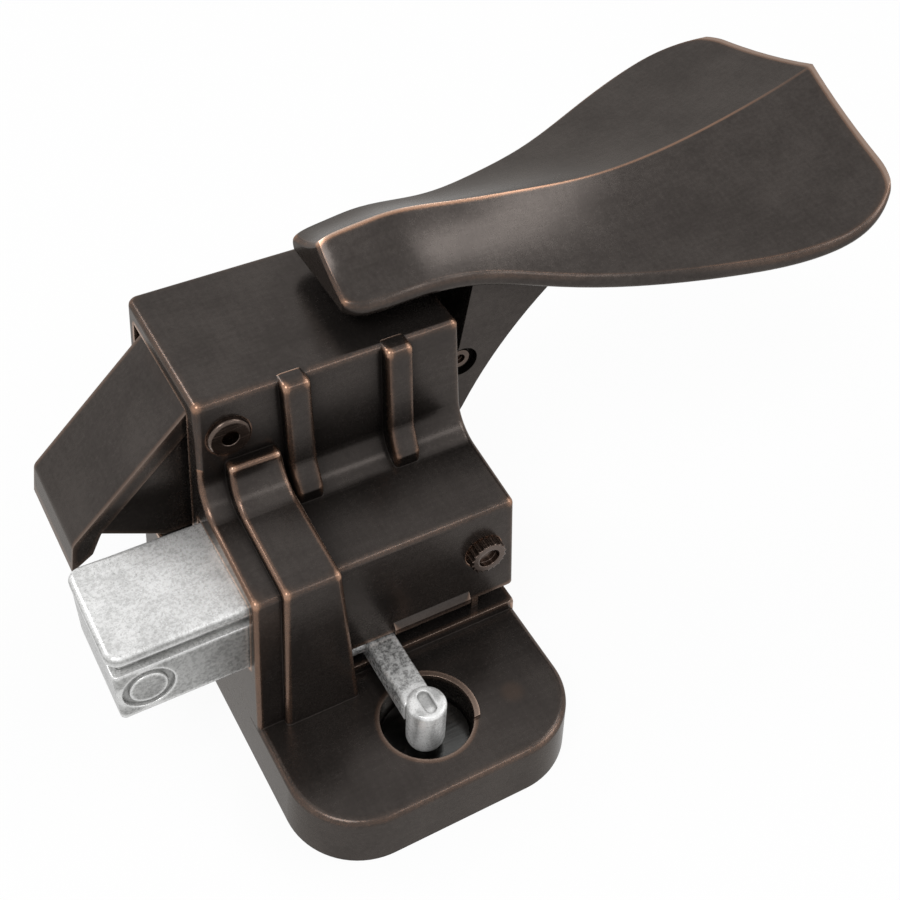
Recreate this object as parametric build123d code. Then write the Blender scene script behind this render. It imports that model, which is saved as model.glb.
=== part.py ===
from build123d import *
import os
from math import asin, cos, degrees, radians, sin, tan

# Push handle of a storm door, in millimetres.
# X runs along the door from the latch side to the paddle tip, Y runs up the door,
# and Z stands out from the door. The origin is on the door face, mid-way along the case.

# Case casting
draft = 3.3
right_draft = 2.3
case_height = 49.2
top_half_x = 17.75
top_front_y = 6.2
top_back_y = 29.0
wall = 2.5
edge_round = 0.9
back_round = 1.4

# Foot plate of the case, with the hole of the lock crank
plate_front_y = -31.6
plate_height = 8.5
plate_corner = 10.5
plate_rim = 2.6
plate_skin = 3.0
hub_y = -20.5
hub_hole_r = 6.2
hub_seat_r = 5.3
hub_seat_z = 3.6
hub_boss_wall = 1.6
hub_lip_height = 0.5
hub_lip_width = 0.8

# Lower block of the case, below the concave sweep of the housing
block_front_y = -9.0
block_over_middle = 5.6
block_slope_rise = 1.7
sweep_margin = 0.1
arm_slot_low = 10.1
arm_slot_high = 14.0
arm_slot_left = -6.2
arm_slot_back = -3.5
flare_left = 0.6
flare_right = 12.0
flare_height = 1.9
flare_rise = 0.5
step_front_y = -10.1
step_round = 0.5
support_web_x = 13.9
support_web_width = 1.0
support_web_setback = 1.3

# Raised guide over the bolt: a low strip with a higher strap on it
strip_rise = 2.0
strap_rise = 3.1
strap_left = -15.4
strap_right = -7.4
strap_head_gap = 1.2
strap_head_rise = 1.7
strap_round = 0.6

# Two ribs down the front of the housing
rib_centres = (-5.2, 8.6)
rib_width = 3.7
rib_rise = 1.7
rib_round = 0.7
rib_cap_rise = 0.15
rib_cap_length = 1.0
rib_toe_y = 1.8
rib_toe_rise = 1.2

# Pins
nose_pin_x = -13.9
nose_roof_gap = 0.3
nose_pin_r = 1.5
handle_pin_x = 14.0
handle_pin_drop = 7.2
handle_pin_r = 1.9
link_pin_x = 21.4
link_pin_fall = 1.0
link_pin_r = 1.5
nose_link_pin_r = 1.25
nose_link_drop = 5.6
nose_link_ahead = 1.3
pin_head_r = 2.8
pin_head_height = 0.9
pin_head_round = 0.4
pin_dish_r = 1.1
pin_dish_depth = 2.0
pin_end = 1.6
collar_r = 2.6
collar_height = 1.7
collar_dish_r = 1.5
collar_dish_depth = 0.8
collar_bore_depth = 0.6
collar_teeth = 18
collar_tooth_depth = 0.25
clip_r = 3.4
clip_thickness = 0.8
running_gap = 0.05
side_gap = 0.4

# Push handle
handle_mid_y = 17.7
stem_width = 13.8
stem_hub_r = 4.4
paddle_edge = 2.2
paddle_bulge = 0.6
paddle_roof = 3.0
paddle_rim = 2.6
paddle_dish = 0.5
paddle_tip_x = 80.1
paddle_end_half = 24.0
paddle_end_lean = 1.7
paddle_end_round = 0.7
paddle_end_corner = 10.0
# Outer and inner edges of the stem: X places and heights over the top of the case
stem_right = ((39.0, 0.4), (27.3, -11.6), (22.0, -20.6))
stem_left = ((19.6, -14.6), (20.9, -9.0), (22.3, 0.7))
link_bore_r = 2.3
link_bore_depth = 1.2
# Stations along the paddle: X, half width, then edge and ridge as heights over the top of the case
paddle_stations = (
    (3.6, 6.6, 5.2, 8.8),
    (5.2, 7.9, 4.9, 9.6),
    (8.5, 8.5, 5.0, 10.1),
    (13.0, 8.7, 5.4, 10.5),
    (22.0, 8.9, 4.5, 9.4),
    (33.0, 12.2, 2.6, 7.8),
    (44.0, 16.1, 1.8, 6.7),
    (55.0, 20.3, 2.6, 7.4),
    (66.0, 23.5, 4.3, 9.7),
    (72.0, 23.7, 5.9, 11.4),
    (76.5, 21.9, 7.7, 12.9),
    (81.0, 17.5, 10.7, 14.8),
)

# Latch nose
nose_front_y = 9.6
nose_back_y = 25.4
nose_skin = 2.2
nose_hub_r = 2.8
nose_tip_x = -34.9
nose_tip_top_drop = 14.0
nose_tip_low_drop = 18.5
nose_root_x = -17.3
nose_root_rise = 2.2
nose_root_round = 1.0
nose_web = 2.0
nose_web_inset = 0.7
nose_web_low_drop = 18.4
nose_web_bend_x = -22.3
nose_web_length = 21.2
nose_tip_lean = 0.8
nose_tip_round = 1.8
nose_hook_length = 3.0
nose_hook_rise = 2.0

# Pull link between the handle and the nose
link_thickness = 1.6
link_half_height = 2.8
link_eye_r = 2.9
link_lost_travel = 5.0
link_wall = 1.6
link_slot_gap = 0.5

# Dead bolt
bolt_left_x = -36.3
bolt_head_end_x = -18.2
bolt_end_wall = 1.0
bolt_front_y = -9.4
bolt_back_y = 6.3
bolt_top_gap = 0.1
bolt_height = 11.4
bolt_slab = 1.3
bolt_slab_round = 0.8
bolt_groove = 1.85
bolt_groove_depth = 1.0
bolt_block_inset = 0.3
bolt_corner = 1.8
bolt_block_corner = 0.7
bolt_gap = 0.25
bolt_throw = 9.5
bolt_tail_thickness = 2.1
bolt_tail_front_y = -6.0
bolt_tail_back_y = 4.6
bolt_tail_end_x = 4.2
bolt_ring_x = 4.2
bolt_ring_r = 3.3
bolt_ring_width = 0.9
bolt_ring_depth = 0.45

# Lock crank
crank_angle = 32.0
crank_arm_width = 4.1
crank_arm_round = 0.5
crank_arm_offset = -1.3
crank_stop_y = -8.4
crank_arm_low = 10.4
crank_arm_high = 13.7
crank_hub_r = 2.6
crank_hub_x = -0.7
crank_hub_ahead = 1.0
crank_hub_top = 14.0
crank_hub_low = 4.7
crank_hub_top_round = 0.55
crank_hub_low_round = 2.2
crank_spigot_r = 1.95
crank_spigot_low = 0.5
crank_pad_length = 3.5
crank_pad_width = 1.7
crank_pad_depth = 0.5
crank_stop_r = 1.1
crank_pin_r = 1.25
crank_pin_gap = 0.45
bushing_flange = 0.9
bushing_low = 1.6
crank_ring_r = 3.4
crank_ring_thickness = 0.8
tail_socket = (1.2, 2.6)

# Back plate, its screws and the two threaded posts
back_plate_thickness = 1.2
back_plate_gap = 0.15
back_plate_seat = 1.2
screw_r = 1.2
screw_head_r = 2.2
screw_head_height = 0.9
screw_length = 6.5
screw_hole_gap = 0.05
screw_boss_r = 3.0
screw_boss_top = 9.0
screw_boss_bite = 0.5
screw_boss_back = 4.6
screw_boss_gap = 0.3
post_spacing = 44.45
post_x = 12.0
post_r = 4.2
post_top = 8.5
post_hole_r = 1.75
post_hole_depth = 7.0

# Springs
spring_wire = 1.0
nose_wire = 0.8
handle_spring_turns = 4
nose_spring_turns = 2
spring_gap = 0.3
spring_foot = 2.6
handle_leg_angle = 24.0
handle_leg_length = 8.0
case_leg_angle = -75.0
case_leg_length = 5.4
nose_leg_angle = -134.0
nose_leg_length = 9.0
roof_leg_angle = 84.0
roof_leg_length = 5.2

lean = tan(radians(draft))
side_draft = (draft + right_draft) / 2
side_tilt = (draft - right_draft) / 2
side_lean = tan(radians(side_draft))
base_half_x = top_half_x + case_height * side_lean
base_back_y = top_back_y + case_height * side_lean
base_mid_x = -case_height * tan(radians(side_tilt))
channel_front_y = top_front_y + wall
channel_top_z = case_height - wall
block_inner_y = block_front_y + wall
block_front_z = case_height / 2 + block_over_middle
block_back_z = block_front_z + block_slope_rise
inner_half_x = top_half_x - wall / 2
nose_pin_z = channel_top_z - nose_hub_r - nose_roof_gap
nose_link_x = nose_pin_x + nose_link_ahead
nose_link_z = nose_pin_z - nose_link_drop
link_pin_z = nose_link_z - link_pin_fall
handle_pin_z = block_front_z - handle_pin_drop
strap_ledge_z = nose_pin_z - pin_head_r - strap_head_gap
sweep_r = strap_ledge_z - block_back_z - strap_rise - sweep_margin
bolt_top_z = block_front_z - bolt_top_gap
bolt_low_z = bolt_top_z - bolt_height
screw_places = (
    (screw_boss_r - screw_boss_bite - inner_half_x, top_back_y - screw_boss_back),
    (inner_half_x - screw_boss_r - screw_boss_gap, block_inner_y + screw_boss_r - screw_boss_bite),
)
handle_spring_y = handle_mid_y - stem_width / 2 - side_gap - handle_spring_turns * spring_wire
swing = radians(crank_angle)
crank_reach = (bolt_throw - crank_arm_offset * (cos(swing) - 1)) / sin(swing)
far = 60.0


def profile(points, rounds=()):
    """Closed outline of straight lines, with some of its corners rounded."""
    face = Polygon(*points, align=None)
    for point, radius in rounds:
        corner = face.vertices().sort_by_distance(Vector(*point))[0]
        face = fillet(corner, radius)
    return face


def along_x(face, x0, x1):
    """Solid of a Y-Z outline between two X places."""
    return extrude(Plane.YZ.offset(x0) * face, amount=x1 - x0, dir=(1, 0, 0))


def along_y(face, y0, y1):
    """Solid of an X-Z outline between two Y places."""
    return extrude(Plane.XZ.offset(-y0) * face, amount=y1 - y0, dir=(0, 1, 0))


def along_z(face, z0, z1):
    """Solid of an X-Y outline between two heights."""
    return extrude(Pos(0, 0, z0) * face, amount=z1 - z0, dir=(0, 0, 1))


def rod_y(x, z, radius, y0, y1):
    """Round bar across the part, from one Y place to another."""
    return along_y(Pos(x, z) * Circle(radius), y0, y1)


def rod_z(x, y, radius, z0, z1):
    """Upright round bar."""
    return along_z(Pos(x, y) * Circle(radius), z0, z1)


def block(x0, x1, y0, y1, z0, z1):
    """Square-edged block between two corners."""
    return along_z(Pos((x0 + x1) / 2, (y0 + y1) / 2) * Rectangle(x1 - x0, y1 - y0), z0, z1)


def front_wall_y(z):
    """Outer front face of the upper housing at a height."""
    return top_front_y - (case_height - z) * lean


def block_wall_y(z):
    """Outer front face of the lower block at a height."""
    return block_front_y - (block_front_z - z) * lean


def back_wall_y(z):
    """Outer back face of the case at a height."""
    return top_back_y + (case_height - z) * side_lean


# Flat seats that the pin heads and clips bear on
nose_pin_seat = front_wall_y(nose_pin_z + pin_head_r)
handle_pin_seat = block_wall_y(handle_pin_z + collar_r)
nose_clip_seat = back_wall_y(nose_pin_z + clip_r)
handle_clip_seat = back_wall_y(handle_pin_z + clip_r)


def drafted_envelope(height):
    """Outer walls of the case up to a height, leaning in as they rise, the right wall less than the left."""
    spare = wall
    half_x = base_half_x + spare * side_lean
    front = plate_front_y - spare * side_lean
    back = base_back_y + spare * side_lean
    plan = Pos(0, (back + front) / 2) * Rectangle(2 * half_x, back - front)
    for side in (-1, 1):
        corner = plan.vertices().sort_by_distance(Vector(side * half_x, front))[0]
        plan = fillet(corner, plate_corner)
    solid = extrude(plan, amount=case_height + 2 * spare, taper=side_draft)
    upright = [edge for edge in solid.edges() if abs((edge @ 1 - edge @ 0).Z) > case_height]
    solid = fillet(ShapeList(upright).sort_by(Axis.Y)[-2:], back_round)
    solid = Pos(0, 0, case_height) * Rot(0, side_tilt, 0) * Pos(0, 0, -case_height - spare) * solid
    return solid & block(-far, far, -far, far, 0, height)


def guide_profile(rise, head_rise):
    """Side outline of the bolt guide: the sweep of the case, raised by a set amount."""
    low_z = plate_height - 1
    front_top = (block_front_y - rise, block_front_z + rise)
    front_low = (block_wall_y(low_z) - rise, low_z)
    corner = (front_wall_y(block_back_z + rise) - head_rise, block_back_z + rise)
    head = (front_wall_y(strap_ledge_z) - head_rise, strap_ledge_z)
    points = (front_low, front_top, corner, head, (channel_front_y, strap_ledge_z), (channel_front_y, low_z))
    return profile(points, ((front_top, edge_round), (corner, sweep_r)))


def outer_edges(guide, sides):
    """Edges of the bolt guide that show, on the faces at its ends and along its ledge."""
    shown = guide.edges().filter_by(Axis.X).filter_by(lambda e: e.center().Y < channel_front_y - wall / 2)
    shown = list(shown.sort_by(Axis.Z)[-1:])
    for side in sides:
        for edge in guide.faces().sort_by(Axis.X)[side].outer_wire().edges():
            if edge.center().Y < channel_front_y - wall / 2 and edge.center().Z > plate_height - wall / 2:
                shown.append(edge)
    return shown


def case_outside():
    """Outer form of the casting, before it is hollowed."""
    back = base_back_y + wall
    top_edge = (top_front_y, case_height)
    front_edge = (block_front_y, block_front_z)
    sweep = (front_wall_y(block_back_z), block_back_z)
    side = profile(
        (
            (block_wall_y(0), 0),
            front_edge,
            sweep,
            top_edge,
            (back, case_height),
            (back, 0),
        ),
        ((front_edge, edge_round), (sweep, sweep_r), (top_edge, edge_round)),
    )
    tower = along_x(side, -far, far) & drafted_envelope(case_height)
    rim = []
    for face in (tower.faces().sort_by(Axis.X)[0], tower.faces().sort_by(Axis.X)[-1]):
        for edge in face.outer_wire().edges():
            if edge.center().Z > plate_height and edge.center().Y < top_back_y - back_round:
                rim.append(edge)
    tower = fillet(rim, edge_round)
    plate = drafted_envelope(plate_height)
    body = tower + fillet(plate.faces().sort_by(Axis.Z)[-1].edges(), edge_round)

    strap_mid = (strap_left + strap_right) / 2
    strip = along_x(guide_profile(strip_rise, 0.0), -far, strap_right) & drafted_envelope(case_height)
    body += fillet(outer_edges(strip, (0,)), strap_round)
    step = block(strap_mid, far, step_front_y, sweep[0], plate_height - 1, arm_slot_low)
    step = fillet(step.edges().filter_by(Axis.X).sort_by(lambda e: e.center().Z - e.center().Y)[-1], step_round)
    body += step & drafted_envelope(case_height)

    strap_height = case_height - plate_height
    strap_half = (strap_right - strap_left) / 2 + (block_front_z - plate_height) * lean
    strap_plan = Pos(strap_mid, 0) * Rectangle(2 * strap_half, far)
    strap_sides = extrude(Pos(0, 0, plate_height - 1) * strap_plan, amount=strap_height, taper=draft)
    strap = along_x(guide_profile(strap_rise, strap_head_rise), -far, far) & strap_sides
    body += fillet(outer_edges(strap, (0, -1)), strap_round)

    rib_top = (top_front_y - rib_rise, case_height + rib_cap_rise)
    rib_corner = (sweep[0] - rib_rise, block_back_z + sweep_r)
    rib_toe = (rib_toe_y, block_back_z + rib_toe_rise)
    rib_back = top_front_y + rib_cap_length
    rib = profile(
        (
            rib_top,
            rib_corner,
            rib_toe,
            (rib_toe_y, block_back_z - rib_rise),
            (rib_back, block_back_z - rib_rise),
            (rib_back, rib_top[1]),
        ),
        ((rib_top, edge_round), (rib_corner, sweep_r), (rib_toe, edge_round)),
    )
    for centre in rib_centres:
        bar = along_x(rib, centre - rib_width / 2, centre + rib_width / 2)
        crests = [e for e in bar.edges() if e.center().Y < top_front_y - rib_rise / 2 and e.length > sweep_r]
        body += fillet([e for e in crests if abs((e @ 1 - e @ 0).X) < edge_round], rib_round)

    lip = Circle(hub_hole_r + hub_lip_width) & Pos(far / 2, far / 2 - hub_hole_r / 2) * Rectangle(far, far)
    body += along_z(Pos(0, hub_y) * lip, plate_height - 1, plate_height + hub_lip_height)
    return body


def case():
    """The casting: foot plate, lower block, swept housing, bolt guide, ribs and the hollow inside."""
    body = case_outside()
    channel = profile(
        (
            (channel_front_y, back_plate_thickness),
            (channel_front_y, channel_top_z),
            (top_back_y - wall, channel_top_z),
            (base_back_y - wall, back_plate_thickness),
        )
    )
    body -= along_x(channel, -inner_half_x, inner_half_x)
    body -= along_x(channel, -far, far) & block(-far, far, -far, far, screw_boss_top, far)
    block_top = block_front_z - wall
    body -= block(-inner_half_x, inner_half_x, block_inner_y, channel_front_y, back_plate_thickness, block_top)
    body -= block(
        -far,
        strap_right - bolt_end_wall,
        bolt_front_y - bolt_gap,
        bolt_back_y + bolt_gap,
        bolt_low_z - bolt_gap,
        bolt_top_z + bolt_gap,
    )
    body -= back_plate_blank(back_plate_gap)

    # Slot for the crank's arm under the lower block, with its flared upper lip and a small web
    body -= block(arm_slot_left, far, -far, arm_slot_back, arm_slot_low, arm_slot_high)
    web_half = support_web_width / 2
    flare_top = arm_slot_high + flare_height
    flare_y = block_wall_y(arm_slot_high) - flare_rise
    flare = profile(
        (
            (block_inner_y - wall / 2, flare_top),
            (block_wall_y(flare_top), flare_top),
            (flare_y, arm_slot_high + edge_round),
            (flare_y, arm_slot_high),
            (block_inner_y - wall / 2, arm_slot_high),
        )
    )
    body += along_x(flare, flare_left, flare_right)
    body += block(
        support_web_x - web_half,
        support_web_x + web_half,
        block_wall_y(arm_slot_high) + support_web_setback,
        block_inner_y,
        arm_slot_low,
        arm_slot_high,
    )

    # Pocket under the foot plate, around the hub's tube and the lower threaded post
    pocket_half_x = base_half_x - plate_rim
    pocket_front = plate_front_y + plate_rim
    pocket_back = block_front_y - wall
    pocket_top = plate_height - plate_skin
    pocket_plan = Rectangle(2 * pocket_half_x, pocket_back - pocket_front)
    pocket_plan = Pos(base_mid_x, (pocket_front + pocket_back) / 2) * pocket_plan
    for side in (-1, 1):
        corner_x = base_mid_x + side * pocket_half_x
        corner = pocket_plan.vertices().sort_by_distance(Vector(corner_x, pocket_front))[0]
        pocket_plan = fillet(corner, plate_corner - plate_rim)
    pocket = along_z(pocket_plan, 0, pocket_top)
    pocket -= rod_z(0, hub_y, hub_hole_r + hub_boss_wall, 0, plate_height)
    lower = -post_spacing / 2
    pocket -= rod_z(post_x, lower, post_r, 0, plate_height)
    pocket -= block(post_x, far, lower - post_r / 2, lower + post_r / 2, 0, plate_height)
    body -= pocket
    body -= rod_z(0, hub_y, hub_seat_r, 0, plate_height)
    body -= rod_z(0, hub_y, hub_hole_r, hub_seat_z, far)

    # Upper threaded post and the bosses for the back plate's screws
    upper = post_spacing / 2
    body += rod_z(post_x, upper, post_r, 0, post_top)
    body += block(post_x, inner_half_x + 1, upper - post_r / 2, upper + post_r / 2, back_plate_thickness, post_top)
    for y in (lower, upper):
        body -= rod_z(post_x, y, post_hole_r, 0, post_hole_depth)
    for x, y in screw_places:
        body += rod_z(x, y, screw_boss_r, back_plate_thickness, screw_boss_top)
        body -= rod_z(x, y, screw_r + screw_hole_gap, 0, screw_length + 1)

    # Holes and flat seats of the two pivot pins
    body -= rod_y(nose_pin_x, nose_pin_z, nose_pin_r + running_gap, -far, far)
    body -= rod_y(handle_pin_x, handle_pin_z, handle_pin_r + running_gap, -far, far)
    body -= rod_y(nose_pin_x, nose_pin_z, pin_head_r + running_gap, nose_pin_seat - 1, nose_pin_seat)
    body -= rod_y(handle_pin_x, handle_pin_z, collar_r + running_gap, handle_pin_seat - 1, handle_pin_seat)
    body -= rod_y(nose_pin_x, nose_pin_z, clip_r + running_gap, nose_clip_seat, nose_clip_seat + 1)
    body -= rod_y(handle_pin_x, handle_pin_z, clip_r + running_gap, handle_clip_seat, handle_clip_seat + 1)

    # Room for the coil of the handle's spring
    coil_r = handle_pin_r + spring_gap + spring_wire + side_gap
    body -= rod_y(handle_pin_x, handle_pin_z, coil_r, handle_spring_y - side_gap, channel_front_y)
    return body


def back_plate_blank(gap):
    """Outline of the back plate, or of its recess when a gap is given."""
    half_x = inner_half_x + back_plate_seat + gap
    front = block_inner_y - back_plate_seat - gap
    back = base_back_y - wall + back_plate_seat + gap
    return block(-half_x, half_x, front, back, 0, back_plate_thickness)


def back_plate():
    """Sheet that closes the case on the door side."""
    plate = back_plate_blank(0)
    plate -= rod_z(post_x, post_spacing / 2, post_r + back_plate_gap, 0, back_plate_thickness)
    for x, y in screw_places:
        plate -= screw_shape(x, y, screw_hole_gap)
    return plate


def screw_shape(x, y, gap):
    """Countersunk screw, or its hole when a gap is given."""
    cone = Pos(x, y, screw_head_height / 2) * Cone(screw_head_r + gap, screw_r + gap, screw_head_height)
    return cone + rod_z(x, y, screw_r + gap, 0, screw_length)


def back_plate_screws():
    """The two screws of the back plate, with their cross recesses."""
    screws = []
    for x, y in screw_places:
        screw = screw_shape(x, y, 0)
        for turn in (0, 90):
            screw -= Pos(x, y, 0) * Rot(0, 0, turn) * Box(screw_head_r * 1.3, 0.6, 1.0)
        screws.append(screw)
    return Compound(screws)


def station_at(x):
    """Half width, edge rise and ridge rise of the paddle at an X place."""
    for low, high in zip(paddle_stations, paddle_stations[1:]):
        if low[0] <= x <= high[0]:
            share = (x - low[0]) / (high[0] - low[0])
            return tuple(a + (b - a) * share for a, b in zip(low[1:], high[1:]))
    return paddle_stations[-1][1:]


def paddle_section(x, half, edge_z, ridge_z, low_z, dish, bulge):
    """Cross-section of the paddle: two dished facets that meet at the ridge, and rounded sides."""
    left = Vector(handle_mid_y - half, edge_z)
    ridge = Vector(handle_mid_y, ridge_z)
    right = Vector(handle_mid_y + half, edge_z)
    low_left = Vector(handle_mid_y - half, low_z)
    low_right = Vector(handle_mid_y + half, low_z)
    sink = Vector(0, -dish)
    swell = Vector(bulge, 0)
    rim = Curve() + [
        ThreePointArc(left, (left + low_left) * 0.5 - swell, low_left),
        Line(low_left, low_right),
        ThreePointArc(low_right, (right + low_right) * 0.5 + swell, right),
        ThreePointArc(right, (right + ridge) * 0.5 + sink, ridge),
        ThreePointArc(ridge, (left + ridge) * 0.5 + sink, left),
    ]
    return Plane.YZ.offset(x) * make_face(rim)


def paddle_loft(low_of):
    """Paddle between its two facets above and a height below, given for each edge height."""
    sections = []
    for x, half, edge_rise, ridge_rise in paddle_stations:
        edge_z = case_height + edge_rise
        ridge_z = case_height + ridge_rise
        sections.append(paddle_section(x, half, edge_z, ridge_z, low_of(edge_z), paddle_dish, paddle_bulge))
    return loft(sections)


def paddle_plan():
    """Plan of the paddle's blunt end, which trims the loft to a shallow point."""
    corner_x = paddle_tip_x - paddle_end_lean
    side_y = paddle_end_half + wall
    low = (corner_x, -side_y)
    high = (corner_x, side_y)
    points = ((-far, -side_y), low, (paddle_tip_x, 0), high, (-far, side_y))
    return Pos(0, handle_mid_y) * profile(points, ((low, paddle_end_corner), (high, paddle_end_corner)))


def push_handle():
    """Paddle and stem, cast in one piece that turns on the handle pin."""
    paddle = paddle_loft(lambda edge_z: edge_z - paddle_edge)
    paddle = fillet(paddle.faces().sort_by(Axis.X)[0].edges(), paddle_end_round)
    paddle = paddle & along_z(paddle_plan(), 0, 2 * far)

    # Hollow under the paddle
    left_x = paddle_stations[0][0] + paddle_rim
    right_x = paddle_tip_x - 2 * paddle_rim
    hollow_x = [row[0] for row in paddle_stations if left_x + wall / 2 < row[0] < right_x - wall / 2]
    sections = []
    for x in [left_x] + hollow_x + [right_x]:
        half, edge_rise, ridge_rise = station_at(x)
        low_z = case_height + edge_rise - paddle_edge
        roof_z = case_height + ridge_rise - paddle_roof
        sections.append(paddle_section(x, half - paddle_rim, low_z + 0.2, roof_z, low_z - 1, 0.2, 0.2))
    paddle -= loft(sections)

    # Stem, swept back from the paddle to the pivot
    y0 = handle_mid_y - stem_width / 2
    y1 = handle_mid_y + stem_width / 2
    outer = [(x, case_height + rise) for x, rise in stem_right]
    inner = [(x, case_height + rise) for x, rise in stem_left]
    stem_line = Curve() + [
        ThreePointArc(*outer),
        Polyline(
            [
                outer[2],
                (handle_pin_x + stem_hub_r * 0.8, handle_pin_z - stem_hub_r * 0.6),
                (handle_pin_x - stem_hub_r * 0.7, handle_pin_z + stem_hub_r * 0.7),
                *inner,
                (inner[-1][0], case_height + far),
                (outer[0][0], case_height + far),
                outer[0],
            ]
        ),
    ]
    stem = along_y(make_face(stem_line), y0, y1)
    stem = stem & Pos(0, 0, -paddle_edge / 2) * paddle_loft(lambda edge_z: handle_pin_z - stem_hub_r)
    stem += rod_y(handle_pin_x, handle_pin_z, stem_hub_r, y0, y1)
    handle = paddle + stem
    handle -= rod_y(handle_pin_x, handle_pin_z, handle_pin_r + running_gap, y0 - 1, y1 + 1)

    # Cross pin with its counterbores, and the slot for the link
    handle -= rod_y(link_pin_x, link_pin_z, link_pin_r + running_gap, y0 - 1, y1 + 1)
    for y in (y0, y1):
        handle -= rod_y(link_pin_x, link_pin_z, link_bore_r, y - link_bore_depth, y + link_bore_depth)
    slot_half = link_thickness / 2 + side_gap
    slot_r = link_eye_r + side_gap
    handle -= rod_y(link_pin_x, link_pin_z, slot_r, handle_mid_y - slot_half, handle_mid_y + slot_half)
    handle -= block(
        handle_pin_x - stem_hub_r - 1,
        link_pin_x,
        handle_mid_y - slot_half,
        handle_mid_y + slot_half,
        link_pin_z - slot_r,
        link_pin_z + slot_r,
    )

    # Hole for the foot of the return spring
    foot_x, foot_z = handle_leg_end()
    handle -= rod_y(foot_x, foot_z, spring_wire / 2 + side_gap / 2, y0, y0 + spring_foot)
    return handle


def dished_pin(x, z, radius, head_r, head_y, seat_y, end_y):
    """Pin with a flat head that is dished in the middle, like a tubular rivet."""
    head = rod_y(x, z, head_r, head_y, seat_y)
    head = fillet(head.edges().filter_by(GeomType.CIRCLE).sort_by(Axis.Y)[0], pin_head_round)
    pin = head + rod_y(x, z, radius, seat_y, end_y)
    return pin - rod_y(x, z, pin_dish_r, head_y - 1, head_y + pin_dish_depth)


def nose_pin():
    """Pivot of the latch nose, with its head on the front of the housing."""
    head_y = nose_pin_seat - pin_head_height
    return dished_pin(nose_pin_x, nose_pin_z, nose_pin_r, pin_head_r, head_y, nose_pin_seat, nose_clip_seat + pin_end)


def handle_pin():
    """Pivot of the push handle, from the lower block to the back wall."""
    front = handle_pin_seat - collar_bore_depth
    return rod_y(handle_pin_x, handle_pin_z, handle_pin_r, front, handle_clip_seat + pin_end)


def handle_pin_collar():
    """Toothed cap on the front end of the handle pin."""
    front = handle_pin_seat - collar_height
    cap = rod_y(handle_pin_x, handle_pin_z, collar_r, front, handle_pin_seat)
    for tooth in range(collar_teeth):
        turn = radians(360 * tooth / collar_teeth)
        x = handle_pin_x + (collar_r + collar_tooth_depth) * cos(turn)
        z = handle_pin_z + (collar_r + collar_tooth_depth) * sin(turn)
        cap -= rod_y(x, z, 2 * collar_tooth_depth, front - 1, handle_pin_seat + 1)
    cap -= rod_y(handle_pin_x, handle_pin_z, collar_dish_r, front - 1, front + collar_dish_depth)
    bore_r = handle_pin_r + running_gap
    cap -= rod_y(handle_pin_x, handle_pin_z, bore_r, handle_pin_seat - collar_bore_depth, handle_pin_seat)
    return cap


def pin_clips():
    """Push-on clips on the back ends of the two pivot pins."""
    clips = []
    for x, z, radius, seat in (
        (nose_pin_x, nose_pin_z, nose_pin_r, nose_clip_seat),
        (handle_pin_x, handle_pin_z, handle_pin_r, handle_clip_seat),
    ):
        clip = rod_y(x, z, clip_r, seat, seat + clip_thickness)
        clips.append(clip - rod_y(x, z, radius + running_gap, seat, seat + clip_thickness))
    return Compound(clips)


def link_pin():
    """Pin of the pull link, across the stem of the handle."""
    y0 = handle_mid_y - stem_width / 2 + link_bore_depth / 2
    y1 = handle_mid_y + stem_width / 2 - link_bore_depth / 2
    pin = rod_y(link_pin_x, link_pin_z, link_pin_r, y0, y1)
    return pin - rod_y(link_pin_x, link_pin_z, link_pin_r / 2, y0 - 1, y0 + link_bore_depth / 2)


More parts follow.
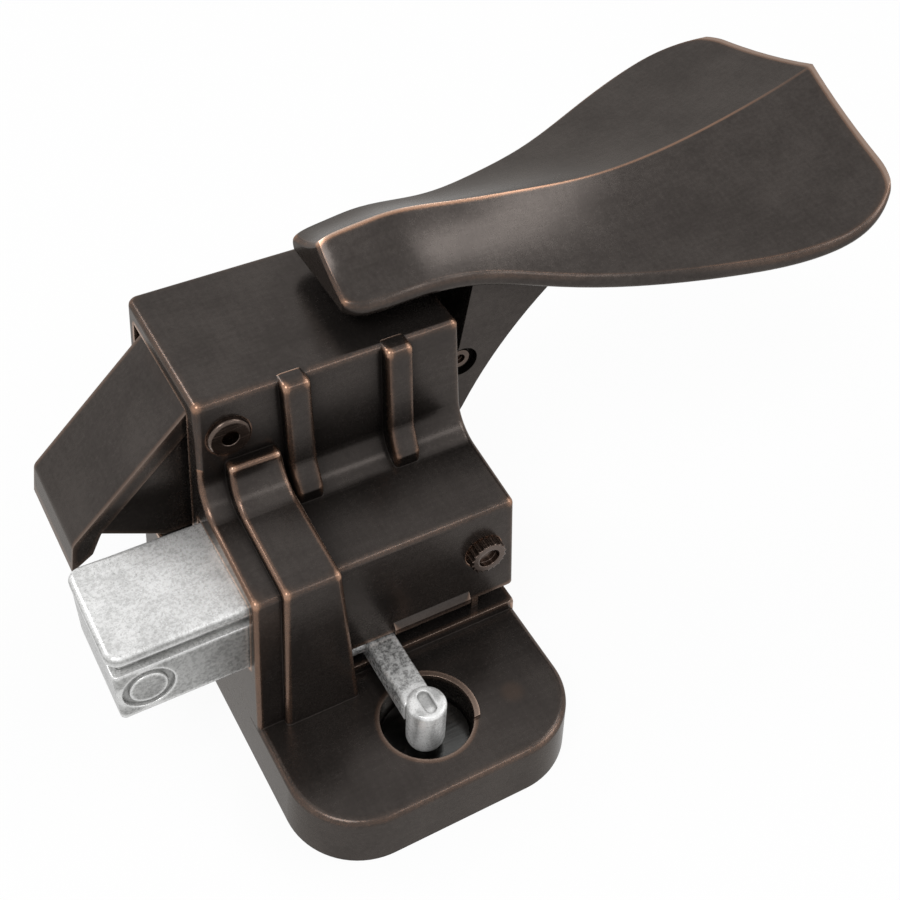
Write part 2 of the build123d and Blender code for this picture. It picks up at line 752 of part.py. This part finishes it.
def latch_nose():
    """Sloped latch nose with a hooked tip, two webs and split knuckles on its pin."""
    root = Vector(nose_root_x, nose_pin_z + nose_root_rise)
    tip = Vector(nose_tip_x + nose_tip_lean, nose_pin_z - nose_tip_top_drop)
    tip_low_z = nose_pin_z - nose_tip_low_drop
    web_low_z = nose_pin_z - nose_web_low_drop
    fall = (tip - root).normalized()
    inward = Vector(-fall.Y, fall.X)
    inner_root = root + inward * nose_skin
    inner_tip = inner_root + fall * ((tip - root).length - nose_hook_length)
    skin = profile(
        (
            (nose_pin_x, nose_pin_z + nose_hub_r),
            (root.X, root.Y),
            (tip.X, tip.Y),
            (nose_tip_x, tip_low_z),
            (nose_tip_x + nose_hook_length, tip_low_z + nose_hook_rise),
            (inner_tip.X, inner_tip.Y),
            (inner_root.X, inner_root.Y),
            (nose_pin_x, nose_pin_z),
        ),
        (((tip.X, tip.Y), nose_tip_round), ((root.X, root.Y), nose_root_round)),
    )
    nose = along_y(skin, nose_front_y, nose_back_y)
    under = root + inward * (nose_skin / 2)
    web = profile(
        (
            (nose_pin_x, nose_pin_z + nose_hub_r / 2),
            (under.X, under.Y),
            (under.X + fall.X * nose_web_length, under.Y + fall.Y * nose_web_length),
            (nose_web_bend_x, web_low_z),
            (nose_link_x, web_low_z),
            (nose_link_x + nose_hub_r, nose_link_z),
            (nose_pin_x + nose_hub_r * 0.9, nose_pin_z),
        )
    )
    front_web = nose_front_y + nose_web_inset
    back_web = nose_back_y - nose_web_inset - nose_web
    for y in (front_web, back_web):
        nose += along_y(web, y, y + nose_web)
    knuckle = nose_web_inset + nose_web
    nose += rod_y(nose_pin_x, nose_pin_z, nose_hub_r, nose_front_y, nose_front_y + knuckle)
    nose += rod_y(nose_pin_x, nose_pin_z, nose_hub_r, nose_back_y - knuckle, nose_back_y)
    coil_r = nose_pin_r + spring_gap + nose_wire + side_gap
    nose -= rod_y(nose_pin_x, nose_pin_z, coil_r, nose_front_y + knuckle, nose_back_y - knuckle)
    nose -= rod_y(nose_pin_x, nose_pin_z, nose_pin_r + running_gap, -far, far)
    nose -= rod_y(nose_link_x, nose_link_z, nose_link_pin_r + running_gap, -far, far)
    return nose


def nose_link_pin():
    """Short pin between the webs of the nose, which the pull link hooks."""
    y0 = nose_front_y + nose_web_inset
    y1 = nose_back_y - nose_web_inset
    return rod_y(nose_link_x, nose_link_z, nose_link_pin_r, y0, y1)


def pull_link():
    """Flat link with an eye on the handle and a lost-motion slot on the nose's pin."""
    eye = Vector(link_pin_x, link_pin_z)
    hook = Vector(nose_link_x, nose_link_z)
    run = (eye - hook).normalized()
    turn = degrees(asin(run.Y))
    slot_r = nose_link_pin_r + link_slot_gap
    end = hook - run * (slot_r + link_wall - link_half_height)
    bar_mid = (eye + end) * 0.5
    bar = Pos(bar_mid.X, bar_mid.Y) * SlotCenterToCenter((eye - end).length, 2 * link_half_height, rotation=turn)
    bar += Pos(eye.X, eye.Y) * Circle(link_eye_r)
    slot_mid = hook + run * (link_lost_travel / 2)
    bar -= Pos(slot_mid.X, slot_mid.Y) * SlotCenterToCenter(link_lost_travel, 2 * slot_r, rotation=turn)
    bar -= Pos(eye.X, eye.Y) * Circle(link_pin_r + running_gap)
    half = link_thickness / 2
    return along_y(bar, handle_mid_y - half, handle_mid_y + half)


def dead_bolt():
    """Cast bolt: a rounded head with a groove under its top slab, and a thin tail with a slot."""
    y_mid = (bolt_front_y + bolt_back_y) / 2
    width = bolt_back_y - bolt_front_y

    def layer(left_x, inset, corner, z0, z1):
        plan = Pos((left_x + bolt_head_end_x) / 2, y_mid) * Rectangle(bolt_head_end_x - left_x, width - 2 * inset)
        for side in (-1, 1):
            place = Vector(left_x, y_mid + side * (width / 2 - inset))
            plan = fillet(plan.vertices().sort_by_distance(place)[0], corner)
        return along_z(plan, z0, z1)

    slab_low = bolt_top_z - bolt_slab
    block_top = slab_low - bolt_groove
    slab = layer(bolt_left_x, 0, bolt_corner, slab_low, bolt_top_z)
    rim = slab.faces().sort_by(Axis.Z)[-1].outer_wire().edges()
    bolt = fillet([e for e in rim if e.center().X < bolt_head_end_x - wall], bolt_slab_round)
    bolt += layer(bolt_left_x + bolt_groove_depth, bolt_groove_depth, bolt_block_corner, block_top, slab_low)
    bolt += layer(bolt_left_x + bolt_block_inset, 0, bolt_block_corner, bolt_low_z, block_top)
    ring_x = bolt_left_x + bolt_ring_x
    ring_z = (bolt_low_z + block_top) / 2
    ring = rod_y(ring_x, ring_z, bolt_ring_r, bolt_front_y - 1, bolt_front_y + bolt_ring_depth)
    ring -= rod_y(ring_x, ring_z, bolt_ring_r - bolt_ring_width, bolt_front_y - 1, bolt_front_y + bolt_ring_depth)
    bolt -= ring
    tail = block(
        bolt_head_end_x - 1,
        bolt_tail_end_x,
        bolt_tail_front_y,
        bolt_tail_back_y,
        bolt_low_z,
        bolt_low_z + bolt_tail_thickness,
    )
    pin_x = crank_arm_offset
    pin_y = hub_y + crank_reach
    slot_back = pin_y + crank_pin_r + crank_pin_gap
    tail -= block(
        pin_x - crank_pin_r - bolt_gap,
        pin_x + crank_pin_r + crank_pin_gap,
        bolt_tail_front_y,
        slot_back,
        bolt_low_z - 1,
        bolt_low_z + bolt_tail_thickness + 1,
    )
    return bolt + tail


def lock_crank():
    """Cast crank: a round hub in the plate's hole and an arm that reaches under the bolt."""
    arm_end = hub_y + crank_reach
    half = crank_arm_width / 2
    arm = block(crank_arm_offset - half, crank_arm_offset + half, hub_y, arm_end, crank_arm_low, crank_arm_high)
    arm += rod_z(crank_arm_offset, arm_end, half, crank_arm_low, crank_arm_high)
    arm = fillet(arm.faces().sort_by(Axis.Z)[-1].outer_wire().edges(), crank_arm_round)
    hub_front_y = hub_y - crank_hub_ahead
    hub = rod_z(crank_hub_x, hub_front_y, crank_hub_r, crank_hub_low, crank_hub_top)
    rings = hub.edges().filter_by(GeomType.CIRCLE).sort_by(Axis.Z)
    hub = fillet(rings[-1], crank_hub_top_round)
    rings = hub.edges().filter_by(GeomType.CIRCLE).sort_by(Axis.Z)
    hub = fillet(rings[0], crank_hub_low_round)
    crank = arm + hub
    stop_z = (crank_arm_low + crank_arm_high) / 2
    stop_end = arm_slot_left + bolt_gap
    crank += along_x(Pos(crank_stop_y, stop_z) * Circle(crank_stop_r), stop_end, crank_arm_offset)
    crank += rod_z(0, hub_y, crank_spigot_r, crank_spigot_low, crank_arm_low + crank_arm_round)
    pad = Pos(crank_hub_x, hub_front_y) * SlotOverall(crank_pad_length, crank_pad_width, rotation=90)
    crank -= along_z(pad, crank_hub_top - crank_pad_depth, crank_hub_top + 1)
    crank -= along_z(Pos(0, hub_y) * Rectangle(*tail_socket), 0, crank_hub_low)
    crank -= rod_z(crank_arm_offset, arm_end, crank_pin_r + running_gap, 0, far)
    return crank


def crank_pin():
    """Drive pin in the end of the crank's arm, which stands up into the bolt's slot."""
    return rod_z(crank_arm_offset, hub_y + crank_reach, crank_pin_r, crank_arm_low, bolt_low_z + bolt_tail_thickness)


def hub_bushing():
    """Flanged bush in the plate's hole, which the crank's spigot turns in."""
    bush = rod_z(0, hub_y, hub_hole_r - bolt_gap, hub_seat_z, hub_seat_z + bushing_flange)
    bush += rod_z(0, hub_y, hub_seat_r - running_gap, bushing_low, hub_seat_z)
    return bush - rod_z(0, hub_y, crank_spigot_r + running_gap, 0, far)


def crank_ring():
    """Retaining ring under the bush."""
    top = bushing_low - running_gap
    ring = rod_z(0, hub_y, crank_ring_r, top - crank_ring_thickness, top)
    return ring - rod_z(0, hub_y, crank_spigot_r + running_gap, 0, far)


def coil(x, z, pin_radius, y0, turns, wire):
    """Close-wound coil round a pin, with one groove between each two turns."""
    inner = pin_radius + spring_gap
    outer = inner + wire
    points = [(inner, 0)]
    for turn in range(turns):
        start = turn * wire
        points.append((outer - wire / 3, start))
        points.append((outer, start + wire / 3))
        points.append((outer, start + wire * 2 / 3))
    points.append((outer - wire / 3, turns * wire))
    points.append((inner, turns * wire))
    ring = revolve(make_face(Polyline(points, close=True)), Axis.Y)
    return Pos(x, y0, z) * ring


def spring_leg(x, z, reach, y, angle, length, wire):
    """Straight end of a torsion spring, tangent to its coil."""
    leg = Pos(0, 0, length / 2) * Cylinder(wire * 0.45, length)
    return Pos(x, y, z) * Rot(0, angle, 0) * Pos(reach, 0, 0) * leg


def handle_leg_end():
    """X and Z place where the handle spring's leg turns into the stem."""
    reach = handle_pin_r + spring_gap + spring_wire / 2
    turn = radians(handle_leg_angle)
    x = handle_pin_x + reach * cos(turn) + handle_leg_length * sin(turn)
    z = handle_pin_z - reach * sin(turn) + handle_leg_length * cos(turn)
    return x, z


def handle_spring():
    """Torsion spring that brings the handle back out, with one leg hooked into the stem."""
    stem_y = handle_mid_y - stem_width / 2
    reach = handle_pin_r + spring_gap + spring_wire / 2
    place = (handle_pin_x, handle_pin_z)
    y_last = handle_spring_y + (handle_spring_turns - 0.5) * spring_wire
    y_first = handle_spring_y + spring_wire / 2
    spring = coil(*place, handle_pin_r, handle_spring_y, handle_spring_turns, spring_wire)
    spring += spring_leg(*place, reach, y_last, handle_leg_angle, handle_leg_length, spring_wire)
    spring += rod_y(*handle_leg_end(), spring_wire / 2, y_last, stem_y + spring_foot - side_gap)
    return spring + spring_leg(*place, reach, y_first, case_leg_angle, case_leg_length, spring_wire)


def nose_spring():
    """Torsion spring that swings the nose back out, between the roof and the slope."""
    y0 = nose_front_y + nose_web_inset + nose_web + side_gap
    reach = nose_pin_r + spring_gap + nose_wire / 2
    place = (nose_pin_x, nose_pin_z)
    y_last = y0 + (nose_spring_turns - 0.5) * nose_wire
    spring = coil(*place, nose_pin_r, y0, nose_spring_turns, nose_wire)
    spring += spring_leg(*place, -reach, y0 + nose_wire / 2, nose_leg_angle, nose_leg_length, nose_wire)
    return spring + spring_leg(*place, -reach, y_last, roof_leg_angle, roof_leg_length, nose_wire)


def main():
    os.makedirs("parts", exist_ok=True)
    makers = (
        case,
        back_plate,
        back_plate_screws,
        push_handle,
        handle_pin,
        handle_pin_collar,
        pin_clips,
        handle_spring,
        latch_nose,
        nose_pin,
        nose_spring,
        nose_link_pin,
        pull_link,
        link_pin,
        dead_bolt,
        lock_crank,
        crank_pin,
        hub_bushing,
        crank_ring,
    )
    for maker in makers:
        export_step(maker(), f"parts/{maker.__name__}.step")


main()
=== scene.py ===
from math import cos, radians, sin

import bpy
from mathutils import Matrix, Vector

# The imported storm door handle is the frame, and its solids carry all the finishes below.
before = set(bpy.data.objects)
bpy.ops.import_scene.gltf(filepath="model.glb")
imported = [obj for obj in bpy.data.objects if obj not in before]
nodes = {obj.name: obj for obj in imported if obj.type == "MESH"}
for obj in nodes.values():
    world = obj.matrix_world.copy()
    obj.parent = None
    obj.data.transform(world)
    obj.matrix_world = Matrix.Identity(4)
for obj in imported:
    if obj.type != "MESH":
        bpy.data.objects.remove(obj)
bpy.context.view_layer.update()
mm = 0.001

# Places on the object that the finishes need, in millimetres
ridge_y = 17.7
hole_x, hole_y, hole_rim_r = 0.0, -20.5, 6.6
hub_x, hub_y, hub_r = -0.7, -21.5, 2.6
slot_low_z, slot_high_z, slot_left_x = 9.5, 16.6, -6.0
sweep_low_z, sweep_high_z = 20.0, 32.0
paddle_low_z, paddle_thin_x, paddle_tip_x = 51.25, 62.0, 77.0

# Colours of the bronze finish
dark_bronze = (0.041, 0.035, 0.032, 1)
pale_bronze = (0.066, 0.057, 0.052, 1)
# Painted shade for the deep recesses
recess_shade_brown = (0.014, 0.012, 0.011, 1)
# Painted shade for the inner corners
corner_shade_brown = (0.022, 0.018, 0.016, 1)
rubbed_brown = (0.110, 0.070, 0.050, 1)
copper = (0.420, 0.235, 0.150, 1)
# Worn copper polished bright, which is also a painted glint on the sharpest crests
polished_copper_glint = (0.800, 0.640, 0.540, 1)

# Colours of the raw zinc castings
pit_grey = (0.11, 0.11, 0.105, 1)
# Painted shade for the zinc's inner corners
corner_shade_grey = (0.09, 0.09, 0.086, 1)
# Painted shade for the upright sides, darker and lighter
side_shade_dark = (0.18, 0.18, 0.175, 1)
side_shade_light = (0.36, 0.36, 0.35, 1)
# Painted reflection on the crank's hub, dark streaks and bright
dark_reflection_grey = (0.42, 0.42, 0.415, 1)
bright_reflection_grey = (0.94, 0.94, 0.93, 1)
edge_grey = (0.88, 0.88, 0.87, 1)


class Signal:
    """A value on its way through a finish. Sums on it add Math nodes."""

    def __init__(self, graph, socket):
        self.graph = graph
        self.socket = socket

    def sum(self, operation, first, second):
        return self.graph.add("ShaderNodeMath", {"operation": operation}, {0: first, 1: second})

    def __add__(self, other):
        return self.sum("ADD", self, other)

    def __radd__(self, other):
        return self.sum("ADD", other, self)

    def __sub__(self, other):
        return self.sum("SUBTRACT", self, other)

    def __rsub__(self, other):
        return self.sum("SUBTRACT", other, self)

    def __mul__(self, other):
        return self.sum("MULTIPLY", self, other)

    def __rmul__(self, other):
        return self.sum("MULTIPLY", other, self)

    def __abs__(self):
        return self.graph.add("ShaderNodeMath", {"operation": "ABSOLUTE"}, {0: self})

    def at_least(self, other):
        return self.sum("MAXIMUM", self, other)

    def between(self, low, high):
        """0 below low, 1 above high, and a smooth rise from one to the other."""
        settings = {"interpolation_type": "SMOOTHSTEP"}
        return self.graph.add("ShaderNodeMapRange", settings, {"Value": self, 1: low, 2: high})


class Graph:
    """A node tree that is built up node by node."""

    def __init__(self, tree):
        self.tree = tree

    def add(self, kind, settings=None, sockets=None, out=0):
        """A node of any kind: its settings first, then the values or links of its sockets."""
        node = self.tree.nodes.new(kind)
        for name, value in (settings or {}).items():
            setattr(node, name, value)
        for name, value in (sockets or {}).items():
            self.feed(node.inputs[name], value)
        return Signal(self, node.outputs[out])

    def feed(self, socket, value):
        if isinstance(value, Signal):
            self.tree.links.new(value.socket, socket)
        else:
            socket.default_value = value

    def shown(self):
        """1 for what the camera sees straight, mirrored in metal or through glass."""
        total = self.add("ShaderNodeLightPath", out="Is Camera Ray")
        for kind in ("Is Glossy Ray", "Is Transmission Ray"):
            total = total + self.add("ShaderNodeLightPath", out=kind)
        return total


class Finish(Graph):
    """A procedural material."""

    def __init__(self, name):
        self.material = bpy.data.materials.new(name)
        self.material.use_nodes = True
        super().__init__(self.material.node_tree)
        self.shader = self.tree.nodes["Principled BSDF"]

    def set(self, **values):
        """Values or links of the shader's own sockets, with spaces as underscores."""
        for name, value in values.items():
            self.feed(self.shader.inputs[name.replace("_", " ")], value)

    def place(self, stretch=(1, 1, 1), shift=(0, 0, 0)):
        """Object coordinates, stretched and shifted for one pattern."""
        spot = self.add("ShaderNodeTexCoord", out="Object")
        return self.add("ShaderNodeMapping", {}, {"Vector": spot, "Location": shift, "Scale": stretch})

    def along(self, axis, source="Object"):
        """One axis of the object's own coordinates or of its surface direction."""
        spot = self.add("ShaderNodeTexCoord", out=source)
        return self.add("ShaderNodeSeparateXYZ", {}, {"Vector": spot}, out=axis)

    def noise(self, spot, size, detail=2.0, rough=0.5):
        """Noise whose patches are about size metres across."""
        sockets = {"Vector": spot, "Scale": 1 / size, "Detail": detail, "Roughness": rough}
        return self.add("ShaderNodeTexNoise", {}, sockets)

    def blend(self, share, first, second):
        """Two colours mixed by a share from 0 to 1."""
        return self.add("ShaderNodeMix", {"data_type": "RGBA"}, {0: share, 6: first, 7: second}, out=2)

    def edge(self, reach):
        """How near a point is to an outer edge: 0 on flats, rising towards the edge."""
        settings = {"inside": True, "only_local": True, "samples": 16}
        open_share = self.add("ShaderNodeAmbientOcclusion", settings, {"Distance": reach}, out="AO")
        return 1 - open_share

    def corner(self, reach):
        """How deep a point sits in an inner corner of its own piece."""
        settings = {"only_local": True, "samples": 12}
        open_share = self.add("ShaderNodeAmbientOcclusion", settings, {"Distance": reach}, out="AO")
        return 1 - open_share

    def soft_edge(self, radius):
        """Surface direction with sharp edges eased over by a radius."""
        return self.add("ShaderNodeBevel", {"samples": 8}, {"Radius": radius})

    def relief(self, height, depth, normal):
        """Fine relief in the surface, on top of a given direction."""
        sockets = {"Height": height, "Distance": depth, "Strength": 1.0, "Normal": normal}
        return self.add("ShaderNodeBump", {}, sockets)


def rubbed_bronze(
    name, shift, worn=1.0, crest_at=(0.11, 0.22), facing=(-0.55, 0.35), ridged=False, spared=None
):
    """Dark oil rubbed bronze, finely mottled, with copper where hands have rubbed its edges."""
    finish = Finish(name)
    spot = finish.place(shift=shift)
    cloud = finish.noise(spot, 8 * mm, 3.0)
    speck = finish.noise(spot, 0.5 * mm, 3.0, 0.65)
    streak = finish.noise(finish.place((140, 1700, 1700), shift), 1.0, 2.0)
    cross = finish.noise(finish.place((1700, 140, 1700), shift), 1.0, 2.0)

    mottle = (cloud * 0.40 + speck * 0.30 + streak * 0.15 + cross * 0.15).between(0.32, 0.68)
    aged = finish.blend(mottle, dark_bronze, pale_bronze)
    # Painted shade in the recesses, more of it up in the sweep than down on the foot plate
    high = finish.along("Z").between(sweep_low_z * mm, sweep_high_z * mm)
    painted_recess_shade = finish.corner(25 * mm).between(0.08, 0.45) * (0.05 + high * 0.70)
    patina = finish.blend(painted_recess_shade, aged, recess_shade_brown)

    # Copper on the crests of edges, and less where the piece faces the door; at the sharpest crests it is
    # polished bright, worn metal that also serves as a painted glint
    wander = (cloud - 0.5) * 0.06 + (speck - 0.5) * 0.03
    near = finish.edge(1.0 * mm) + wander
    crest = near.between(*crest_at)
    if ridged:
        line = 1 - abs(finish.along("Y") - ridge_y * mm).between(0.08 * mm, 0.32 * mm)
        crest = crest.at_least(line * (0.55 + wander * 4.0))
    bare = finish.along("Z", "Normal").between(*facing) * worn
    if spared:
        bare = bare * (1 - spared(finish))
    rubbed = crest * bare
    halo = (finish.edge(2.2 * mm) + wander).between(0.15, 0.45) * bare * 0.3
    browned = finish.blend(halo, patina, rubbed_brown)
    coppered = finish.blend(rubbed * 0.80, browned, copper)
    polished_and_glinting = finish.blend(near.between(0.26, 0.42) * bare * 0.6, coppered, polished_copper_glint)
    # Painted shade in the inner corners, which are also rougher there
    corner_shade_and_grime = finish.corner(1.5 * mm).between(0.15, 0.6)
    colour = finish.blend(corner_shade_and_grime * 0.5, polished_and_glinting, corner_shade_brown)

    normal = finish.soft_edge(0.12 * mm)
    grain = finish.relief(speck * 0.6 + streak * 0.2 + cross * 0.2, 0.006 * mm, normal)
    finish.set(
        Base_Color=colour,
        Metallic=0.82,
        Specular_Tint=(0.62, 0.60, 0.58, 1),
        Roughness=0.26 + (speck - 0.5) * 0.12 + (cloud - 0.5) * 0.08 + corner_shade_and_grime * 0.1,
        Normal=grain,
    )
    return finish.material


def around(finish, x, y, inner, outer):
    """1 within an inner radius of an upright line, falling to 0 at an outer radius, in millimetres."""
    across = finish.along("X") - x * mm
    up = finish.along("Y") - y * mm
    return 1 - (across * across + up * up).between((inner * mm) ** 2, (outer * mm) ** 2)


def sheltered_case(finish):
    """Edges of the case that hands don't reach: at the door, the rim of the crank's hole and its slot."""
    height = finish.along("Z")
    above_low = height.between((slot_low_z - 0.3) * mm, (slot_low_z + 0.3) * mm)
    above_high = height.between((slot_high_z - 0.4) * mm, (slot_high_z + 0.4) * mm)
    right = finish.along("X").between((slot_left_x - 0.5) * mm, (slot_left_x + 0.5) * mm)
    slot = (above_low - above_high) * right
    rim = around(finish, hole_x, hole_y, hole_rim_r, hole_rim_r + 0.8)
    by_door = 1 - height.between(0.5 * mm, 2.0 * mm)
    return (rim * 0.75).at_least(slot * 0.75).at_least(by_door)


def sheltered_handle(finish):
    """Edges of the handle that hands don't reach: the stem, and in part the paddle's thin far end."""
    stem = 1 - finish.along("Z").between((paddle_low_z - 0.75) * mm, (paddle_low_z + 0.75) * mm)
    far_end = finish.along("X").between(paddle_thin_x * mm, paddle_tip_x * mm)
    return stem.at_least(far_end * 0.65)


def raw_zinc(name, shift, dark, light, metallic, side_shade=0.0, painted_hub_glare=False):
    """Tumbled zinc casting, mottled grey, with dark pits, bright edges, painted shade in its inner corners,
    painted shade on its upright sides by a share, and if asked a painted reflection on the crank's hub.
    """
    finish = Finish(name)
    spot = finish.place(shift=shift)
    cloud = finish.noise(spot, 4 * mm, 4.0, 0.6)
    fleck = finish.noise(spot, 0.5 * mm, 5.0, 0.75)
    pit = finish.noise(spot, 0.26 * mm, 4.0).between(0.61, 0.70)

    mottle = (cloud * 0.45 + fleck * 0.55).between(0.36, 0.62)
    # Upright sides take painted shade by a share
    upright = 1 - abs(finish.along("Z", "Normal")).between(0.3, 0.8)
    clean = finish.blend(mottle, (dark, dark, dark * 0.985, 1), (light, light, light * 0.99, 1))
    side_shaded = finish.blend(mottle, side_shade_dark, side_shade_light)
    skin = finish.blend(upright * side_shade, clean, side_shaded)
    if painted_hub_glare:
        # Painted reflection on the crank's hub: bright, with dark upright streaks
        reflection_streaks = finish.noise(finish.place((420, 420, 90), shift), 1.0, 3.0).between(0.34, 0.60)
        reflected_tone = finish.blend(reflection_streaks, dark_reflection_grey, bright_reflection_grey)
        hub = around(finish, hub_x, hub_y, hub_r, hub_r + 1.4)
        skin = finish.blend(hub * 0.9, skin, reflected_tone)
        metallic = metallic - hub * 0.25
    spotted = finish.blend(pit * 0.55, skin, pit_grey)
    crest = (finish.edge(0.9 * mm) + (fleck - 0.5) * 0.1).between(0.15, 0.34)
    bright = finish.blend(crest * 0.6, spotted, edge_grey)
    # Painted shade in the inner corners, which are also rougher there
    corner_shade_and_grime = finish.corner(0.7 * mm).between(0.15, 0.6)
    colour = finish.blend(corner_shade_and_grime * 0.7, bright, corner_shade_grey)

    normal = finish.relief(fleck * 0.6 - pit * 0.5, 0.025 * mm, finish.soft_edge(0.25 * mm))
    finish.set(
        Base_Color=colour,
        Metallic=metallic,
        Roughness=0.28 + (fleck - 0.5) * 0.25 + pit * 0.15 + corner_shade_and_grime * 0.1,
        Normal=normal,
    )
    return finish.material


def plated_steel(name, colour, shift, gloss=0.32):
    """Drawn or pressed steel with fine scratches along its length."""
    finish = Finish(name)
    spot = finish.place(shift=shift)
    cloud = finish.noise(spot, 4 * mm, 3.0)
    scratch = finish.noise(finish.place((300, 4000, 4000), shift), 1.0, 3.0)
    dull = tuple(c * 0.62 for c in colour) + (1,)
    share = (cloud * 0.6 + scratch * 0.4).between(0.3, 0.7)
    crest = finish.edge(0.5 * mm).between(0.12, 0.40)
    normal = finish.relief(scratch, 0.01 * mm, finish.soft_edge(0.2 * mm))
    finish.set(
        Base_Color=finish.blend(share * 0.8 + crest * 0.2, dull, colour + (1,)),
        Metallic=1.0,
        Roughness=gloss + (scratch - 0.5) * 0.25,
        Normal=normal,
    )
    return finish.material


def dress(material, *names):
    """Puts a finish on the solids of the given nodes."""
    for name in names:
        mesh = nodes[name].data
        mesh.materials.clear()
        mesh.materials.append(material)


dress(rubbed_bronze("case_bronze", (0, 0, 0), spared=sheltered_case), "case")
paddle_bronze = rubbed_bronze(
    "paddle_bronze",
    (0.31, 0.12, 0.07),
    crest_at=(0.10, 0.20),
    facing=(0.0, 0.5),
    ridged=True,
    spared=sheltered_handle,
)
dress(paddle_bronze, "push_handle")
dress(rubbed_bronze("nose_bronze", (0.11, 0.43, 0.19), worn=0.15), "latch_nose")
dress(raw_zinc("bolt_zinc", (0, 0, 0), 0.54, 0.80, 0.55, side_shade=0.9), "dead_bolt")
crank_zinc = raw_zinc("crank_zinc", (0.17, 0.29, 0.05), 0.14, 0.70, 0.50, painted_hub_glare=True)
dress(crank_zinc, "lock_crank")
pin_steel = plated_steel("pin_bronzed_steel", (0.130, 0.098, 0.082), (0.23, 0.05, 0.37), 0.24)
dress(pin_steel, "nose_pin", "handle_pin_collar", "link_pin")
bright_steel = plated_steel("plated_steel", (0.58, 0.58, 0.56), (0, 0, 0))
dress(bright_steel, "handle_pin", "pin_clips", "nose_link_pin", "pull_link", "crank_pin", "crank_ring")
dress(plated_steel("cover_steel", (0.50, 0.50, 0.49), (0.2, 0.1, 0)), "back_plate", "back_plate_screws")
dress(plated_steel("spring_wire", (0.30, 0.30, 0.31), (0.1, 0.2, 0)), "handle_spring", "nose_spring")
dress(plated_steel("bush_steel", (0.12, 0.12, 0.117), (0.4, 0.1, 0.3), 0.2), "hub_bushing")


def white_room():
    """White floor under the object and a dome of soft light around it."""
    bpy.ops.object.select_all(action="DESELECT")
    bpy.ops.mesh.primitive_plane_add(size=6, location=(0, 0, -0.05 * mm))
    floor = bpy.context.object
    floor.name = "floor"
    white = (1, 1, 1, 1)
    paper = Finish("white_paper")
    paper.set(Base_Color=(0.86, 0.86, 0.86, 1), Roughness=0.9)
    glow = paper.add("ShaderNodeEmission", {}, {"Color": white, "Strength": 1.0})
    sheet = Signal(paper, paper.shader.outputs[0])
    mixed = paper.add("ShaderNodeMixShader", {}, {0: paper.shown() * 0.94, 1: sheet, 2: glow})
    paper.feed(paper.tree.nodes["Material Output"].inputs["Surface"], mixed)
    floor.data.materials.append(paper.material)

    world = bpy.data.worlds.new("dome")
    bpy.context.scene.world = world
    world.use_nodes = True
    dome = Graph(world.node_tree)
    light = dome.add("ShaderNodeBackground", {}, {"Color": white, "Strength": 0.5})
    backdrop = dome.add("ShaderNodeBackground", {}, {"Color": white, "Strength": 1.0})
    both = dome.add("ShaderNodeMixShader", {}, {0: dome.shown(), 1: light, 2: backdrop})
    dome.feed(dome.tree.nodes["World Output"].inputs["Surface"], both)


def hang_lamp(name, spot, size, power):
    """A square lamp that looks at the middle of the object, its place and size in metres."""
    lamp = bpy.data.lights.new(name, "AREA")
    lamp.size = size
    lamp.energy = power
    holder = bpy.data.objects.new(name, lamp)
    holder.location = spot
    aim = Vector((0.01, 0, 0.03)) - Vector(spot)
    holder.rotation_euler = aim.to_track_quat("-Z", "Y").to_euler()
    bpy.context.scene.collection.objects.link(holder)


def set_camera(spot, turn, rise, roll, focal_length):
    """The photograph's view: place in millimetres, then angles in degrees and the lens on a 36 mm sensor."""
    turn, rise, roll = radians(turn), radians(rise), radians(roll)
    back = Vector((sin(turn) * cos(rise), -cos(turn) * cos(rise), sin(rise)))
    level = Vector((cos(turn), sin(turn), 0))
    upward = back.cross(level)
    right = level * cos(roll) + upward * sin(roll)
    top = upward * cos(roll) - level * sin(roll)
    lens = bpy.data.cameras.new("camera")
    lens.lens = focal_length
    lens.sensor_width = 36
    lens.clip_start = 0.005
    camera = bpy.data.objects.new("camera", lens)
    turned = Matrix((right, top, back)).transposed().to_4x4()
    camera.matrix_world = Matrix.Translation(Vector(spot) * mm) @ turned
    bpy.context.scene.collection.objects.link(camera)
    bpy.context.scene.camera = camera
    bpy.context.scene.view_settings.view_transform = "Standard"


white_room()
hang_lamp("key_lamp", (-0.35, -0.25, 0.75), 0.35, 2.5)
hang_lamp("side_lamp", (0.60, -0.35, 0.45), 0.30, 1.0)
hang_lamp("top_lamp", (0.475, -0.04, 0.65), 0.18, 0.50)
hang_lamp("front_lamp", (0.25, -0.50, 0.60), 0.15, 0.3)
hang_lamp("back_lamp", (-0.36, 0.48, 0.56), 0.20, 1.4)
set_camera((-50.07, -103.67, 159.93), turn=-31.6, rise=46.1, roll=3.45, focal_length=54)
